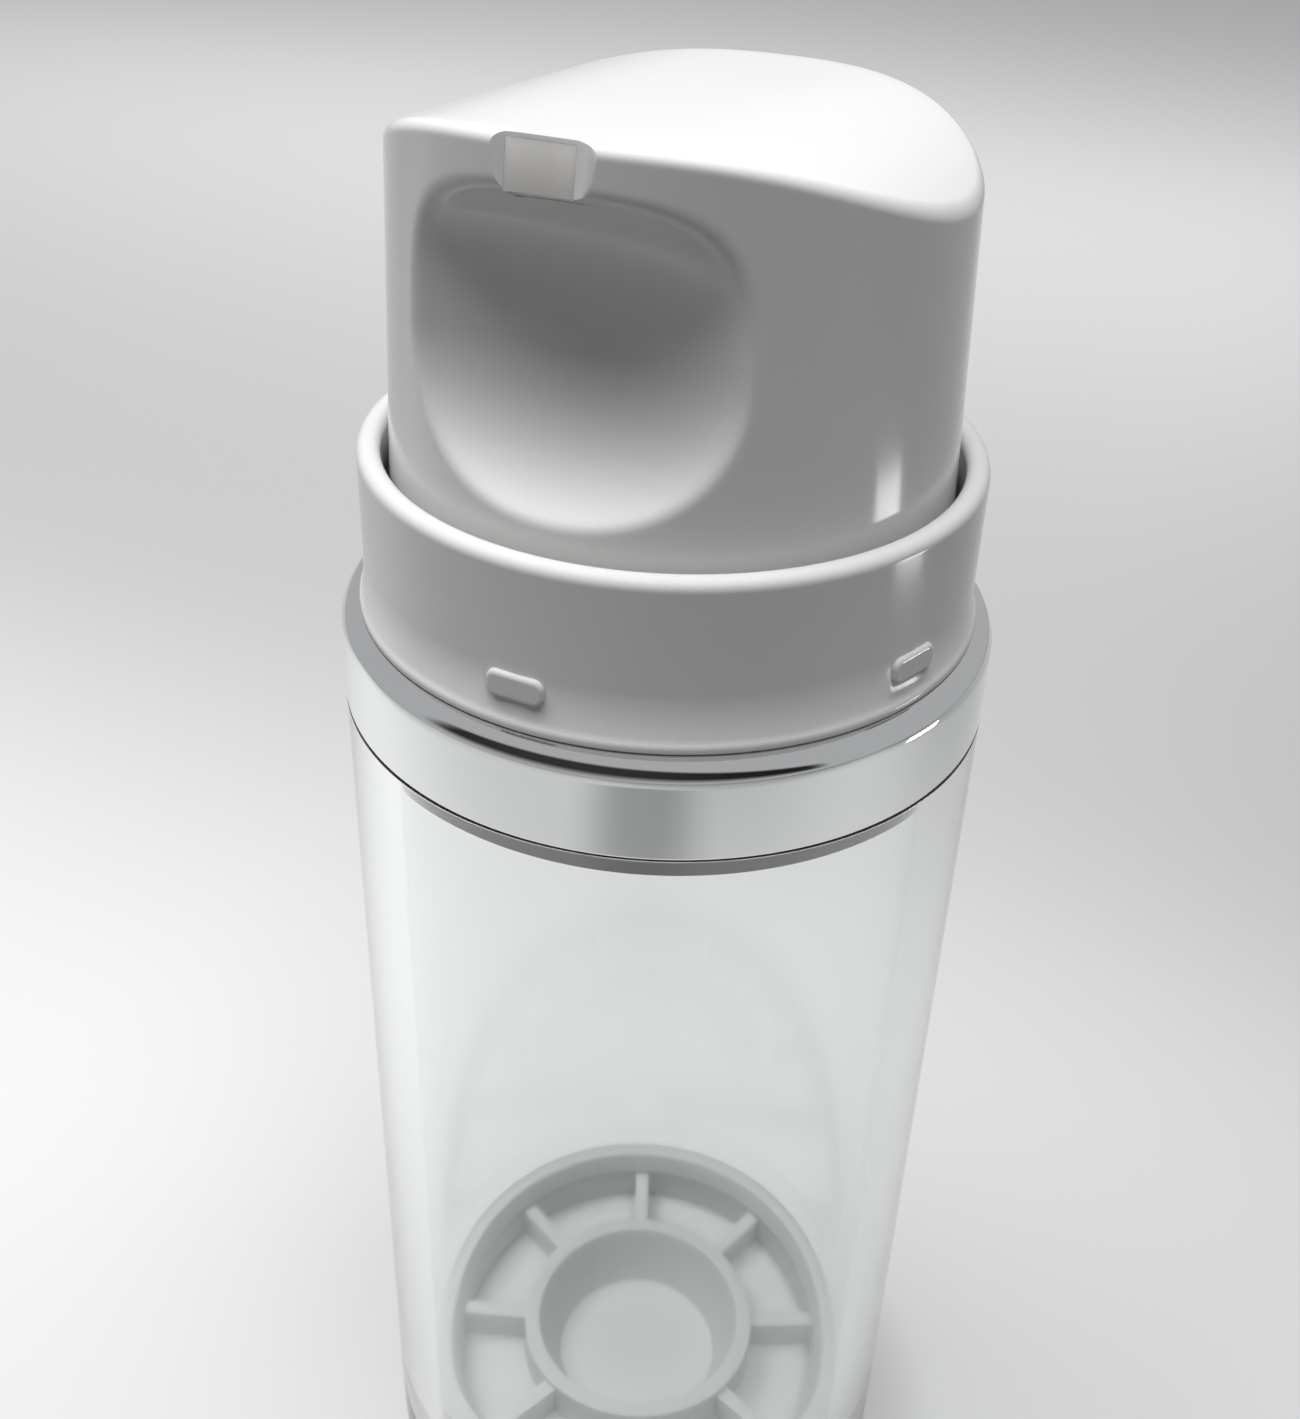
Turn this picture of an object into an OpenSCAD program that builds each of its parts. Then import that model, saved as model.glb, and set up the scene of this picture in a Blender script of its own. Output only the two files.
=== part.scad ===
// Airless pump bottle with a clear straight body, a chromed shoulder ring and a scooped pump head.
// Units are millimetres. The origin is the centre of the resting face, +Z is up and the nozzle points to -Y.

/* [Bottle] */
// Outer radius of the clear bottle and of the shoulder ring
bottle_r = 20; // [18:0.5:24]
// Height of the bottle from the resting face to its shoulder
bottle_h = 72; // [66:1:90]
// Thickness of the bottle's wall
bottle_wall = 2.9; // [2.5:0.1:3.3]
// Thickness of the bottle's floor
floor_t = 2.8; // [2.4:0.1:3.4]
// Height of the hollow under the floor
push_up = 0.8; // [0.5:0.1:1.2]
// Width of the ring that the bottle stands on
foot_w = 4; // [3:0.5:5]
// Height of the neck above the shoulder
neck_h = 4; // [3.5:0.1:5]
// Radius of the air vent in the floor
vent_r = 1; // [0.8:0.1:1.5]

/* [Ring and collar] */
// Height of the shoulder ring
ring_h = 6.1; // [5.6:0.1:7]
// Fillet on the ring's upper outer edge
ring_fillet = 1.4; // [1:0.1:1.5]
// Width of the ring's band outside the collar
ring_band = 1.6; // [1.4:0.1:1.8]
// Thickness of the collar's wall
collar_wall = 1.4; // [1.2:0.1:1.5]
// Height of the collar's rim above the ring
collar_rise = 10; // [9.5:0.1:12]
// How far the collar's foot stands out over the ring
collar_foot = 0.4; // [0.2:0.1:0.6]
// Number of snap bumps round the collar
bump_count = 5; // [3:1:6]
// Angle from the nozzle to the first snap bump
bump_turn = -3; // [-30:1:30]
// Length of a snap bump round the collar, in degrees
bump_deg = 11; // [8:1:14]
// Height of a snap bump
bump_h = 1.6; // [1.2:0.1:2]
// How far a snap bump stands out
bump_out = 0.35; // [0.2:0.05:0.5]
// Height of a snap bump's underside above the ring
bump_z = 1.7; // [1.4:0.1:2.4]

/* [Closure] */
// Thickness of the closure's deck
deck_t = 1.2; // [1:0.1:1.5]
// Thickness of the plug's skirt in the bottle's mouth
plug_wall = 1.4; // [1.2:0.1:1.8]
// How far the plug reaches below the shoulder
plug_drop = 2.3; // [1.8:0.1:3]
// Outer radius of the turret that carries the pump
turret_r = 8.6; // [8.4:0.1:8.8]
// Height of the turret above the deck
turret_h = 6.8; // [6.4:0.1:7.2]
// Thickness of the turret's wall
turret_wall = 1.3; // [1:0.1:1.6]
// Thickness of the neck gasket
gasket_t = 0.8; // [0.6:0.1:1]

/* [Pump] */
// Radius of the dosing chamber
chamber_r = 4.6; // [4.4:0.1:4.7]
// Wall of the dosing chamber
chamber_wall = 1.2; // [1:0.1:1.3]
// Depth of the chamber below its flange's top
chamber_depth = 17; // [16.5:0.1:17.5]
// Depth of the pump's nose below the chamber's floor
nose_h = 7; // [6.8:0.1:7.2]
// Outer radius of the pump's nose
nose_r = 4.4; // [4.2:0.1:4.6]
// Thickness of the housing's flange
flange_t = 1.2; // [1:0.1:1.4]
// Radius of the inlet
inlet_r = 1.1; // [0.9:0.1:1.2]
// Radius of the inlet ball
ball_r = 1.75; // [1.6:0.05:1.8]
// How far the inlet ball lifts
ball_lift = 1; // [0.8:0.1:1]
// Outer radius of the stem
stem_r = 2; // [1.9:0.05:2.1]
// Radius of the stem's channel
channel_r = 1.1; // [0.9:0.1:1.2]
// Height of the pump piston
piston_h = 4.2; // [3.8:0.1:4.4]
// Lost motion between the stem and the pump piston
lost_motion = 0.9; // [0.8:0.05:1]
// How far the head is pressed down
stroke = 6; // [5:0.1:6]
// Thickness of the gland's top plate
gland_t = 1.4; // [1.3:0.1:1.6]
// Wire diameter of the return spring
wire_d = 0.8; // [0.6:0.05:0.85]
// Mean radius of the return spring
spring_r = 5; // [4.9:0.1:5.3]
// Number of turns in the return spring
spring_turns = 5; // [4:1:5]

/* [Follower] */
// Height of the follower piston
follower_h = 7.4; // [7:0.1:8]
// Outer radius of the follower's central cup
cup_r = 9.6; // [9.2:0.1:10]
// Radius of the follower's central recess
recess_r = 6.6; // [6.2:0.1:7]
// Thickness of the follower's webs
follower_web = 1.2; // [1:0.1:1.4]
// Number of ribs across the follower's groove
rib_count = 8; // [6:1:12]

/* [Head] */
// Gap between the head's skirt and the collar
head_gap = 0.4; // [0.3:0.05:0.6]
// How much the head's radius shrinks per millimetre of height
head_taper = 0.034; // [0.02:0.001:0.04]
// Height of the head from its skirt to the middle of its top
head_h = 21.8; // [21.6:0.1:23]
// How far the skirt's edge hangs below the collar's rim
skirt_overlap = 2.6; // [2:0.1:3]
// Radius of the arch across the head's top
arch_r = 39; // [36:1:50]
// Slope of the head's top up towards the nozzle, in degrees
top_slope = 3.4; // [2:0.1:4.5]
// Wall of the head's shell
head_wall = 1.6; // [1.4:0.1:1.7]
// Height of the dent's middle above the skirt's edge
dent_z = 12.1; // [11.8:0.1:12.4]
// Half height of the dent, as a share of the head's radius
dent_tall = 0.482; // [0.46:0.002:0.49]
// Depth of the dent at its middle, as a share of the head's radius
dent_deep = 0.289; // [0.25:0.001:0.3]
// Half angle that the dent spans round the head
dent_half_deg = 34.5; // [30:0.5:36]
// Width of the nozzle's face
nozzle_w = 3.6; // [3.4:0.1:4.2]
// Height of the nozzle insert
nozzle_h = 4.3; // [4:0.1:4.5]
// Depth of the notch in front of the nozzle's face
notch_depth = 0.6; // [0.5:0.1:0.8]
// Width of the notch at its top
notch_top_w = 5.8; // [5.4:0.1:6.2]
// Width of the notch at its foot
notch_foot_w = 7.6; // [7:0.1:8.2]
// Radius of the nozzle's duct
duct_r = 0.8; // [0.6:0.05:0.9]

/* [Fits] */
// Radial clearance of a sliding or turning fit
run_gap = 0.05; // [0.03:0.01:0.08]
// Clearance between pieces that are pressed or laid together
seat_gap = 0.05; // [0.03:0.01:0.1]

/* [Hidden] */

// Smoothness of round shapes and the overshoot of a cut past the face it opens
$fn = 96;
cut = 1;
fillet_steps = 6;

// Bottle and what stands on its neck
bore_r = bottle_r - bottle_wall;
collar_r = bottle_r - ring_band;
neck_r = collar_r;
floor_top = push_up + floor_t;
neck_top = bottle_h + neck_h;
deck_top = neck_top + deck_t;
ring_top = bottle_h + ring_h;
ring_inner_r = collar_r + seat_gap;
collar_inner_r = collar_r - collar_wall;
collar_top = ring_top + collar_rise;
foot_draft = 0.1;
seat_over = 0.1;
seat_z = ring_top + bump_z + bump_h + seat_over;
plug_r = bore_r - seat_gap;
plug_inner_r = plug_r - plug_wall;
snap_h = 1.8;
snap_wall = 0.8;
snap_r = collar_inner_r - seat_gap;
bead = 0.2;
bead_h = 0.6;
mouth_bead_z = bottle_h + neck_h / 2;
snap_bead_z = deck_top + snap_h / 2;
base_fillet = 1.2;
rim_round = 0.6;
edge = 0.3;

// Pump, from the turret up to the gland and down to the nose
turret_top = deck_top + turret_h;
flange_z = turret_top + gasket_t;
flange_top = flange_z + flange_t;
flange_r = turret_r;
housing_r = chamber_r + chamber_wall;
turret_hole_r = housing_r + 3 * seat_gap;
chamber_floor = flange_top - chamber_depth;
nose_z = chamber_floor - nose_h;
gland_top = flange_top + seat_gap + gland_t;
gland_wall = 1;
gland_r = turret_r + 2 * seat_gap + gland_wall;
gland_skirt = 7;
gland_bead_z = gland_top - gland_skirt + bead_h;
stop_inset = 0.35;
stop_z = flange_top - stop_inset;
nose_wall = 0.8;
cage_r = nose_r - nose_wall;
cage_t = 1.15;
cage_z = chamber_floor - cage_t;
ball_room = 0.65;
ball_room_r = ball_r + ball_room;
ball_top = cage_z - seat_gap - ball_lift;
ball_z = ball_top - ball_r;

// Stem, counted down from the gland's stop
shoulder_h = 1;
shoulder_out = 0.8;
shoulder_r = stem_r + shoulder_out;
shoulder_top = stop_z - seat_gap;
shoulder_z = shoulder_top - shoulder_h;
piston_top = shoulder_z - lost_motion;
piston_z = piston_top - piston_h;
lip_r = chamber_r - run_gap;
foot_top = piston_z - seat_gap;
foot_rim_h = 0.5;
foot_t = 1.6;
foot_r = 3.3;
foot_rim_wall = 0.6;
foot_rim_draw = 0.4;
tip_r = 1.5;
stem_foot_z = foot_top - foot_rim_h;
port_r = 0.45;
port_rise = 0.6;
port_z = piston_z + port_rise;
channel_sump = 0.25;
channel_z = port_z - port_r - channel_sump;
wiper_r = 3.35;
wiper_h = 0.9;

// Head
head_r = collar_inner_r - head_gap;
head_z = collar_top - skirt_overlap;
head_top = head_z + head_h;
inner_taper_r = head_r - head_wall;
socket_overlap = 5;
socket_r = 3.6;
press_gap = 0.5;
socket_z = gland_top + stroke + press_gap;
stem_top = socket_z + socket_overlap;
core_z = stem_top;
core_t = 1.5;
core_top = core_z + core_t;
core_gap = 0.2;
core_skirt = 2.5;
core_wall = 1;
stop_rib_t = 1;
stop_rib_reach = 4.8;
roof_gap = 0.5;
duct_drop = 3.2;
duct_z = head_top - duct_drop;
duct_top_z = head_top - head_wall - roof_gap;
duct_bed = 1.3;
duct_floor_z = duct_z - duct_bed;
duct_join = 8;

// The dent is part of a ring-shaped scoop that stands in front of the head
dent_mid_z = head_z + dent_z;
dent_half_h = dent_tall * head_r;
dent_depth = dent_deep * head_r;
dent_head_r = head_r - head_taper * dent_z;
dent_half_w = dent_head_r * sin(dent_half_deg);
dent_edge_x = dent_head_r * cos(dent_half_deg);
dent_floor_x = dent_head_r - dent_depth;
dent_sag = dent_edge_x - dent_floor_x;
scoop_tube_r = (dent_half_h * dent_half_h + dent_depth * dent_depth) / (2 * dent_depth);
scoop_reach = (dent_half_w * dent_half_w + dent_sag * dent_sag) / (2 * dent_sag);
scoop_y = dent_floor_x + scoop_reach;
scoop_ring_r = scoop_reach - scoop_tube_r;

// Nozzle
head_front_r = head_r - head_taper * head_h;
face_y = head_front_r - notch_depth;
nozzle_top = duct_floor_z + nozzle_h;
orifice_inset = 1.6;
orifice_y = face_y - orifice_inset;

// Follower, standing on the bottle's floor
follower_z = floor_top + seat_gap;
follower_top = follower_z + follower_h;
follower_r = bore_r - run_gap;
lip_h = 1.4;
lip_draw = 0.7;
groove_rise = 3;
groove_z = follower_z + groove_rise;
cup_drop = 1.2;
cup_top = follower_top - cup_drop;

// Return spring: rings of points along one unbroken helix, dead ends flat on their seats
coil_rings = 8;
coil_sides = 6;
spring_z = gland_top + wire_d / 2 + seat_gap;
spring_end_z = core_z - wire_d / 2 - seat_gap;
spring_steps = spring_turns * coil_rings;
end_gap = 0.5;
end_pitch = wire_d + end_gap;

function spring_height(turn) =
    let (body = (spring_end_z - spring_z - 2 * end_pitch) / (spring_turns - 2))
    turn < 1 ? end_pitch * turn
    : turn > spring_turns - 1 ? spring_end_z - spring_z - end_pitch * (spring_turns - turn)
    : end_pitch + body * (turn - 1);
function spring_point(i) =
    let (turn = i / coil_rings)
    [spring_r * cos(360 * turn), spring_r * sin(360 * turn), spring_z + spring_height(turn)];
function spring_ring(i) =
    let (centre = spring_point(i), around = 360 * i / coil_rings)
    [for (k = [0:coil_sides - 1])
        let (side = 360 * k / coil_sides)
        centre + wire_d / 2 * [cos(side) * cos(around), cos(side) * sin(around), sin(side)]];
spring_points = [for (i = [0:spring_steps]) each spring_ring(i)];
spring_gaps = [for (i = [0:spring_steps - coil_rings], j = [i + coil_rings / 2:spring_steps])
    norm(spring_point(i) - spring_point(j)) - wire_d];
echo(least_spring_gap = min(spring_gaps));

// Round solid of the given outline, whose points are radius and height
module turned(outline) {
    rotate_extrude()
        polygon(outline);
}

// Plain ring
module hoop(inner_r, outer_r, z, h) {
    translate([0, 0, z])
        difference() {
            cylinder(r = outer_r, h = h);
            translate([0, 0, -cut])
                cylinder(r = inner_r, h = h + 2 * cut);
        }
}

// Snap bead that stands out round a cylinder, or with a clearance the groove for it
module bead_ring(r, out, z, grow) {
    half = bead_h / 2 + grow;
    turned([[r - bead, z - half - bead], [r, z - half], [r + out, z - half / 2], [r + out, z + half / 2],
            [r, z + half], [r - bead, z + half + bead]]);
}

// Points of a quarter fillet that turns from one direction to another
function fillet(centre, r, from, to) =
    [for (k = [0:fillet_steps])
        let (a = from + (to - from) * k / fillet_steps)
        centre + r * [cos(a), sin(a)]];

module bottle() {
    color([0.9, 0.93, 0.94, 0.35])
        difference() {
            turned(concat(
                [[0, push_up], [bottle_r - foot_w - push_up, push_up], [bottle_r - foot_w, 0]],
                fillet([bottle_r - base_fillet, base_fillet], base_fillet, -90, 0),
                fillet([bottle_r - edge, bottle_h - edge], edge, 0, 90),
                [[neck_r, bottle_h], [neck_r, neck_top], [bore_r, neck_top], [bore_r, floor_top],
                 [0, floor_top]]));
            cylinder(r = vent_r, h = floor_top + cut);
            bead_ring(bore_r, bead + seat_gap, mouth_bead_z, seat_gap);
        }
}

module follower_piston() {
    color([0.86, 0.88, 0.89])
        difference() {
            union() {
                turned([
                    [0, groove_z - 2 * follower_web],
                    [recess_r + follower_web, groove_z - 2 * follower_web],
                    [cup_r - follower_web, groove_z - follower_web],
                    [follower_r - lip_draw - follower_web, groove_z - follower_web],
                    [follower_r - lip_draw - follower_web, follower_z],
                    [follower_r, follower_z],
                    [follower_r - lip_draw, follower_z + lip_h],
                    [follower_r - lip_draw, follower_top - lip_h],
                    [follower_r, follower_top],
                    [follower_r - follower_web, follower_top],
                    [follower_r - lip_draw - follower_web, follower_top - lip_h],
                    [follower_r - lip_draw - follower_web, groove_z],
                    [cup_r, groove_z],
                    [cup_r, cup_top],
                    [cup_r - follower_web, cup_top],
                    [recess_r, groove_z - follower_web],
                    [0, groove_z - follower_web]]);
                for (k = [0:rib_count - 1])
                    rotate([0, 0, 360 * (k + 0.5) / rib_count])
                        translate([cup_r - follower_web / 2, -follower_web / 2, groove_z - follower_web / 2])
                            cube([follower_r - lip_draw - follower_web / 2 - cup_r, follower_web,
                                  cup_top - groove_z]);
            }
            translate([0, 0, groove_z - follower_web / 2])
                cylinder(r1 = recess_r, r2 = cup_r - follower_web, h = cup_top - groove_z + follower_web / 2);
        }
}

module trim_ring() {
    color([0.82, 0.83, 0.85])
        turned(concat(
            [[ring_inner_r, bottle_h + seat_gap], [bottle_r - edge, bottle_h + seat_gap],
             [bottle_r, bottle_h + edge]],
            fillet([bottle_r - ring_fillet, ring_top - ring_fillet], ring_fillet, 0, 90),
            [[ring_inner_r, ring_top]]));
}

module closure() {
    plug_z = bottle_h - plug_drop;
    color([0.9, 0.9, 0.9])
        difference() {
            union() {
                hoop(plug_inner_r, plug_r, plug_z, neck_top - plug_z + deck_t / 2);
                hoop(turret_r - turret_wall, neck_r, neck_top + seat_gap, deck_t - seat_gap);
                hoop(turret_hole_r, turret_r, turret_top - turret_wall, turret_wall);
                hoop(turret_r - turret_wall, turret_r, neck_top + seat_gap, turret_top - neck_top - seat_gap);
                hoop(snap_r - snap_wall, snap_r, deck_top - deck_t / 2, snap_h + deck_t / 2);
                bead_ring(plug_r, bead, mouth_bead_z, 0);
                bead_ring(snap_r, bead, snap_bead_z, 0);
            }
            hoop(turret_r - bead - seat_gap, turret_r + cut, gland_bead_z - seat_gap, bead_h + 2 * seat_gap);
        }
}

// Snap bump for an overcap: a short arc with a sloped top and underside
module snap_bump() {
    base_r = collar_r - collar_wall / 2;
    base_z = ring_top + bump_z;
    crest_r = collar_r + bump_out;
    rotate([0, 0, -bump_deg / 2])
        rotate_extrude(angle = bump_deg)
            polygon([
                [base_r, base_z], [collar_r, base_z], [crest_r, base_z + bump_out],
                [crest_r, base_z + bump_h - 2 * bump_out], [collar_r, base_z + bump_h],
                [base_r, base_z + bump_h]]);
}

module collar() {
    foot_z = ring_top + seat_gap;
    flare_r = collar_r + collar_foot;
    round_z = collar_top - rim_round;
    color([0.92, 0.92, 0.92])
        union() {
            difference() {
                turned(concat(
                    [[collar_inner_r, deck_top + seat_gap], [collar_r, deck_top + seat_gap],
                     [collar_r, foot_z], [flare_r, foot_z], [flare_r, ring_top + collar_foot],
                     [collar_r + foot_draft, ring_top + 2 * collar_foot], [collar_r, seat_z]],
                    fillet([collar_r - rim_round, round_z], rim_round, 0, 90),
                    fillet([collar_inner_r + rim_round, round_z], rim_round, 90, 180)));
                bead_ring(snap_r, bead + seat_gap, snap_bead_z, seat_gap);
            }
            for (k = [0:bump_count - 1])
                rotate([0, 0, bump_turn - 90 + 360 * k / bump_count])
                    snap_bump();
        }
}

module neck_gasket() {
    color([0.75, 0.77, 0.78])
        hoop(turret_hole_r, turret_r, turret_top + seat_gap / 2, gasket_t - seat_gap);
}

module pump_housing() {
    shelf_z = chamber_floor - cage_t - ball_lift / 2;
    color([0.88, 0.89, 0.9])
        difference() {
            turned([
                [0, nose_z], [nose_r - edge, nose_z], [nose_r, nose_z + edge],
                [nose_r, cage_z - 2 * (housing_r - nose_r)], [housing_r, cage_z],
                [housing_r, flange_z], [flange_r, flange_z], [flange_r, flange_top], [0, flange_top]]);
            translate([0, 0, chamber_floor])
                cylinder(r = chamber_r, h = chamber_depth + cut);
            translate([0, 0, cage_z])
                cylinder(r = cage_r, h = cage_t + cut);
            turned([
                [0, nose_z - cut], [inlet_r, nose_z - cut], [inlet_r, seat_cone_z(inlet_r)],
                [ball_room_r, seat_cone_z(ball_room_r)], [ball_room_r, shelf_z + ball_lift / 2 + cut],
                [0, shelf_z + ball_lift / 2 + cut]]);
        }
}

// Height of the ball's 45 degree seat at a given radius, with the ball just off it
function seat_cone_z(r) = ball_z - ball_r * sqrt(2) - seat_gap + r;

module inlet_ball() {
    color([0.7, 0.71, 0.73])
        translate([0, 0, ball_z])
            sphere(r = ball_r);
}

module ball_cage() {
    hole_count = 3;
    hole_r = 0.8;
    hole_ring_r = 2;
    color([0.84, 0.86, 0.87])
        difference() {
            translate([0, 0, cage_z + seat_gap])
                cylinder(r = cage_r - seat_gap, h = cage_t - seat_gap);
            for (k = [0:hole_count - 1])
                rotate([0, 0, 360 * k / hole_count])
                    translate([hole_ring_r, 0, cage_z - cut])
                        cylinder(r = hole_r, h = cage_t + 2 * cut);
        }
}

module pump_piston() {
    hub_r = stem_r + run_gap;
    hub_wall = 0.9;
    lip_out = 0.3;
    sleeve_r = lip_r - lip_out;
    sleeve_wall = 0.6;
    middle = piston_z + piston_h / 2;
    color([0.8, 0.83, 0.86])
        turned([
            [hub_r, piston_z], [hub_r + hub_wall, piston_z], [hub_r + hub_wall, middle - hub_wall / 2],
            [sleeve_r - sleeve_wall, middle - hub_wall / 2], [lip_r - sleeve_wall, piston_z + edge],
            [lip_r, piston_z + edge], [sleeve_r, piston_z + 2 * hub_wall],
            [sleeve_r, piston_top - 2 * hub_wall], [lip_r, piston_top - edge],
            [lip_r - sleeve_wall, piston_top - edge], [sleeve_r - sleeve_wall, middle + hub_wall / 2],
            [hub_r + hub_wall, middle + hub_wall / 2], [hub_r + hub_wall, piston_top], [hub_r, piston_top]]);
}

module stem() {
    color([0.93, 0.93, 0.93])
        difference() {
            turned([
                [0, stem_foot_z - foot_t], [tip_r, stem_foot_z - foot_t], [tip_r, stem_foot_z],
                [stem_r, stem_foot_z], [stem_r, shoulder_z], [shoulder_r, shoulder_z],
                [shoulder_r, shoulder_top], [stem_r, shoulder_top], [stem_r, stem_top - edge],
                [stem_r - edge, stem_top], [0, stem_top]]);
            translate([0, 0, channel_z])
                cylinder(r = channel_r, h = stem_top);
            translate([0, 0, port_z])
                rotate([90, 0, 0])
                    cylinder(r = port_r, h = 4 * stem_r, center = true);
        }
}

module stem_foot() {
    color([0.85, 0.86, 0.87])
        turned([
            [tip_r + seat_gap, stem_foot_z - foot_t], [foot_r - edge, stem_foot_z - foot_t],
            [foot_r, stem_foot_z - foot_t + edge], [foot_r, foot_top], [foot_r - foot_rim_wall, foot_top],
            [foot_r - foot_rim_wall - foot_rim_draw, stem_foot_z - seat_gap],
            [tip_r + seat_gap, stem_foot_z - seat_gap]]);
}

module gland() {
    bore = stem_r + run_gap;
    skirt_inner = turret_r + 2 * seat_gap;
    sleeve_r = chamber_r - 2 * seat_gap;
    shoulder_gap = 0.3;
    sleeve_inner = shoulder_r + shoulder_gap;
    sleeve_z = piston_top + stop_inset;
    wiper_seat_z = gland_top - wiper_h - seat_gap;
    color([0.87, 0.88, 0.88])
        union() {
            turned([
                [bore, stop_z], [sleeve_inner, stop_z], [sleeve_inner, sleeve_z], [sleeve_r, sleeve_z],
                [sleeve_r, flange_top + seat_gap], [skirt_inner, flange_top + seat_gap],
                [skirt_inner, gland_top - gland_skirt], [gland_r, gland_top - gland_skirt],
                [gland_r, gland_top - edge], [gland_r - edge, gland_top], [wiper_r + seat_gap, gland_top],
                [wiper_r + seat_gap, wiper_seat_z], [bore, wiper_seat_z]]);
            hoop(skirt_inner - bead, skirt_inner + gland_wall / 2, gland_bead_z, bead_h);
        }
}

module stem_wiper() {
    bore = stem_r + run_gap;
    rim_w = 0.5;
    web_t = 0.4;
    lip_drop = 0.2;
    color([0.35, 0.36, 0.38])
        turned([
            [bore, gland_top - wiper_h], [wiper_r, gland_top - wiper_h], [wiper_r, gland_top - seat_gap],
            [wiper_r - rim_w, gland_top - seat_gap], [bore + rim_w, gland_top - wiper_h + web_t],
            [bore, gland_top - lip_drop]]);
}

module return_spring() {
    last = spring_steps * coil_sides;
    sides = [for (i = [0:spring_steps - 1], k = [0:coil_sides - 1])
        let (a = i * coil_sides + k, b = i * coil_sides + (k + 1) % coil_sides)
        each [[a, a + coil_sides, b], [b, a + coil_sides, b + coil_sides]]];
    ends = [for (k = [1:coil_sides - 2]) each [[0, k, k + 1], [last, last + k + 1, last + k]]];
    color([0.62, 0.63, 0.65])
        polyhedron(points = spring_points, faces = concat(sides, ends));
}

// The arched top: a lying cylinder, higher towards the nozzle
module arch(r) {
    translate([0, 0, head_top - arch_r])
        rotate([90 - top_slope, 0, 0])
            cylinder(r = r, h = 4 * bottle_r, center = true, $fn = 240);
}

// A tapered column from the skirt's edge, whose radius is given there
module taper(r, z) {
    h = head_h + 2 * cut;
    translate([0, 0, z])
        cylinder(r1 = r, r2 = r - head_taper * h, h = h);
}

// The scoop that forms the dent, grown by a given thickness
module scoop(grow) {
    translate([0, -scoop_y, dent_mid_z])
        rotate_extrude()
            translate([scoop_ring_r, 0])
                circle(r = scoop_tube_r + grow);
}

// The head's outside, dent included
module head_form() {
    difference() {
        intersection() {
            taper(head_r, head_z);
            arch(arch_r);
        }
        scoop(0);
    }
}

// The room inside the head's shell
module head_room() {
    difference() {
        intersection() {
            taper(inner_taper_r + head_taper * cut, head_z - cut);
            arch(arch_r - head_wall);
        }
        scoop(head_wall);
    }
}

// Outline of the nozzle insert from behind, grown by a clearance
module nozzle_block(grow) {
    translate([-nozzle_w / 2 - grow, -face_y - grow / 2, duct_floor_z - grow])
        cube([nozzle_w + 2 * grow, face_y - duct_join + 1.5 * grow, nozzle_h + 2 * grow]);
}

// Flared notch between the dent and the rim
module notch() {
    depth = notch_depth + cut;
    spread = (notch_foot_w - nozzle_w) / (2 * notch_depth) * depth;
    notch_z = dent_mid_z;
    rise = nozzle_top - notch_z;
    foot_rise = dent_half_h - edge;
    flare = (notch_foot_w - notch_top_w) / 2 / (rise - foot_rise);
    intersection() {
        translate([0, 0, notch_z])
            linear_extrude(rise)
                polygon([
                    [-nozzle_w / 2, -face_y], [nozzle_w / 2, -face_y],
                    [nozzle_w / 2 + spread, -face_y - depth], [-nozzle_w / 2 - spread, -face_y - depth]]);
        translate([0, 0, notch_z])
            rotate([90, 0, 0])
                linear_extrude(head_r + cut)
                    polygon([
                        [-notch_top_w / 2 - flare * rise, 0], [notch_top_w / 2 + flare * rise, 0],
                        [notch_top_w / 2, rise], [-notch_top_w / 2, rise]]);
    }
}

// The duct that leads forward to the nozzle and down into the dent's roof
module duct() {
    translate([0, 0, duct_z])
        rotate([90, 0, 0])
            cylinder(r = duct_r, h = orifice_y);
    translate([0, -orifice_y, duct_floor_z - cut])
        cylinder(r = duct_r, h = duct_z - duct_floor_z + cut);
    translate([0, -orifice_y, duct_z])
        sphere(r = duct_r);
}

module actuator_core() {
    rim_r = inner_taper_r - head_taper * (core_top - head_z) - core_gap;
    tower_top = duct_top_z - seat_gap;
    color([0.9, 0.9, 0.89])
        difference() {
            union() {
                translate([0, 0, socket_z])
                    cylinder(r = socket_r, h = tower_top - socket_z);
                translate([0, 0, core_z])
                    cylinder(r = rim_r, h = core_t);
                hoop(rim_r - core_wall, rim_r, core_z - core_skirt, core_skirt + core_t / 2);
                translate([-nozzle_w / 2, -duct_join + seat_gap, duct_floor_z])
                    cube([nozzle_w, duct_join - seat_gap, tower_top - duct_floor_z]);
            }
            scoop(head_wall + seat_gap);
            translate([0, 0, socket_z - cut])
                cylinder(r = stem_r + run_gap, h = stem_top + 2 * seat_gap - socket_z + cut);
            translate([0, 0, stem_top])
                cylinder(r = channel_r, h = duct_z - stem_top);
            translate([0, 0, duct_z])
                rotate([90, 0, 0])
                    cylinder(r = duct_r, h = duct_join + cut);
        }
}

module actuator_shell() {
    rib_turns = [55, 100, 145, -145, -100, -55];
    rib_inner_r = head_r - head_wall - stop_rib_reach;
    color([0.95, 0.95, 0.95])
        difference() {
            union() {
                difference() {
                    head_form();
                    head_room();
                }
                intersection() {
                    arch(arch_r - head_wall / 2);
                    taper(head_r - head_wall / 2, head_z);
                    for (turn = rib_turns)
                        rotate([0, 0, turn - 90])
                            translate([rib_inner_r, -stop_rib_t / 2, core_top + seat_gap])
                                cube([head_r - rib_inner_r, stop_rib_t, head_h]);
                }
            }
            nozzle_block(seat_gap);
            notch();
        }
}

module nozzle_insert() {
    color([0.93, 0.91, 0.86])
        difference() {
            intersection() {
                nozzle_block(0);
                head_form();
            }
            duct();
        }
}

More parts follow.
